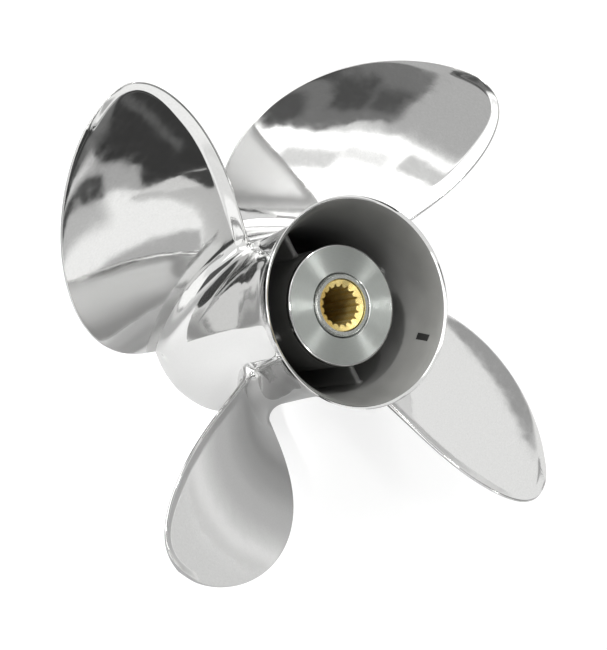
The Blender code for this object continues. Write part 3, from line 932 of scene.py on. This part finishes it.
def make_world():
    """Soft studio surroundings: a pale room with bright and dark cards that the metal mirrors."""
    world = bpy.data.worlds.new("studio")
    bpy.context.scene.world = world
    world.use_nodes = True
    tree = world.node_tree
    tree.nodes.clear()
    coordinates = tree.nodes.new("ShaderNodeTexCoord")
    direction = coordinates.outputs["Generated"]
    noise = tree.nodes.new("ShaderNodeTexNoise")
    noise.inputs["Scale"].default_value = CARD_WAVE_SCALE
    noise.inputs["Detail"].default_value = CARD_WAVE_DETAIL
    tree.links.new(direction, noise.inputs["Vector"])
    sway = tree.nodes.new("ShaderNodeSeparateColor")
    tree.links.new(noise.outputs["Color"], sway.inputs[0])
    split = tree.nodes.new("ShaderNodeSeparateXYZ")
    tree.links.new(direction, split.inputs[0])
    x, y, z = split.outputs
    azimuth = math_node(tree, "DEGREES", math_node(tree, "ARCTAN2", y, x))
    elevation = math_node(tree, "DEGREES", math_node(tree, "ARCSINE", z))
    room = tree.nodes.new("ShaderNodeValue")
    room.outputs[0].default_value = ROOM_LIGHT
    light = room.outputs[0]
    for cards, wave in ((CARDS, CARD_WAVE), (STEADY_CARDS, STEADY_CARD_WAVE)):
        up, aside = [
            math_node(tree, "MULTIPLY", math_node(tree, "SUBTRACT", part, NOISE_MIDDLE), wave)
            for part in sway.outputs[:2]
        ]
        aside = math_node(tree, "MULTIPLY", aside, WAVE_STRETCH)
        waved_azimuth = math_node(tree, "ADD", azimuth, aside)
        waved_elevation = math_node(tree, "ADD", elevation, up)
        for card in cards:
            light = add_card(tree, waved_azimuth, waved_elevation, light, card)
    studio = tree.nodes.new("ShaderNodeBackground")
    studio.inputs["Color"].default_value = STUDIO_WHITE
    tree.links.new(light, studio.inputs["Strength"])
    backdrop = tree.nodes.new("ShaderNodeBackground")
    backdrop.inputs["Color"].default_value = WHITE
    backdrop.inputs["Strength"].default_value = BACKDROP_LIGHT
    path = tree.nodes.new("ShaderNodeLightPath")
    either = tree.nodes.new("ShaderNodeMixShader")
    output = tree.nodes.new("ShaderNodeOutputWorld")
    tree.links.new(path.outputs["Is Camera Ray"], either.inputs[0])
    tree.links.new(studio.outputs[0], either.inputs[1])
    tree.links.new(backdrop.outputs[0], either.inputs[2])
    tree.links.new(either.outputs[0], output.inputs["Surface"])


def make_lamp(name, kind, place, target, power):
    """Lamp that lights the floor and the matt parts but isn't mirrored in the metal."""
    lamp = bpy.data.objects.new(name, bpy.data.lights.new(name, kind))
    lamp.data.energy = power
    lamp.visible_glossy = False
    aim = Vector(place) - Vector(target)
    turn = aim.to_track_quat("Z", "Y").to_matrix().to_4x4()
    lamp.matrix_world = Matrix.Translation(Vector(place)) @ turn
    bpy.context.scene.collection.objects.link(lamp)
    return lamp.data


def make_lamps():
    key = make_lamp("key_lamp", "AREA", KEY_PLACE, KEY_TARGET, KEY_POWER)
    key.shape = "DISK"
    key.size = KEY_SIZE
    for name, place, target, angle, size, power in SPOTS:
        spot = make_lamp(name, "SPOT", place, target, power)
        spot.spot_size = math.radians(angle)
        spot.spot_blend = 1.0
        spot.shadow_soft_size = size


def floor_white():
    """Matt floor, darker near the propeller as a painted shadow and paler far off, and bleached where
    the camera sees it directly.
    """
    material, tree, shader = new_material("floor_white", FLOOR_NEAR, 0.9, 0.0)
    place = tree.nodes.new("ShaderNodeVectorMath")
    place.operation = "LENGTH"
    tree.links.new(object_vector(tree), place.inputs[0])
    far = map_range(tree, place.outputs["Value"], 0.0, 1.0, FLOOR_NEAR_RADIUS, FLOOR_FAR_RADIUS)
    tree.links.new(mix_colours(tree, far, FLOOR_NEAR, FLOOR_FAR), shader.inputs["Base Color"])
    path = tree.nodes.new("ShaderNodeLightPath")
    bleach = math_node(tree, "MULTIPLY", path.outputs["Is Camera Ray"], FLOOR_BLEACH)
    shader.inputs["Emission Color"].default_value = WHITE
    tree.links.new(bleach, shader.inputs["Emission Strength"])
    return material


def make_studio():
    bpy.ops.mesh.primitive_plane_add(size=FLOOR_SIZE)
    floor = bpy.context.object
    floor.name = "floor"
    floor.data.materials.append(floor_white())
    make_world()
    make_lamps()
    bpy.context.scene.view_settings.view_transform = "Standard"


def make_camera():
    camera_data = bpy.data.cameras.new("camera")
    camera = bpy.data.objects.new("camera", camera_data)
    bpy.context.scene.collection.objects.link(camera)
    camera_data.sensor_fit = "HORIZONTAL"
    camera_data.sensor_width = CAMERA_SENSOR
    camera_data.lens = CAMERA_LENS
    target = Vector(CAMERA_TARGET)
    back = Vector((
        math.cos(CAMERA_ELEVATION) * math.cos(CAMERA_AZIMUTH),
        math.cos(CAMERA_ELEVATION) * math.sin(CAMERA_AZIMUTH),
        math.sin(CAMERA_ELEVATION),
    ))
    upright = back.to_track_quat("Z", "Y").to_matrix().to_4x4()
    roll = Matrix.Rotation(CAMERA_ROLL, 4, "Z")
    camera.matrix_world = Matrix.Translation(target + back * CAMERA_DISTANCE) @ upright @ roll
    bpy.context.scene.camera = camera


def main():
    polished = polished_steel()
    # Deep and mouth colours of the matt steel are painted shade: the barrel's flare mouth is kept
    # darker than its depths
    blasted = blasted_steel("blasted_steel", ((0.13, 0.13, 0.125), (0.19, 0.19, 0.185)),
                            ((0.10, 0.10, 0.095), (0.17, 0.17, 0.162)))
    # The ribs get a lighter copy of the blasted steel, painted light, lighter still towards their aft
    # ends
    rib_steel_painted_light = blasted_steel("rib_steel_painted_light", ((0.16, 0.16, 0.155), (0.22, 0.22, 0.215)),
                              ((0.60, 0.60, 0.59), (0.75, 0.75, 0.74)))
    machined = machined_steel()
    ring_steel = plated_ring()
    rubber = black_rubber()
    make_barrel(polished, blasted)
    make_blades(polished)
    make_inner_hub(machined, blasted, polished)
    make_ribs(rib_steel_painted_light)
    make_bushing(rubber, ring_steel)
    make_sleeve(machined_brass())
    make_plug(rubber)
    make_studio()
    make_camera()


main()
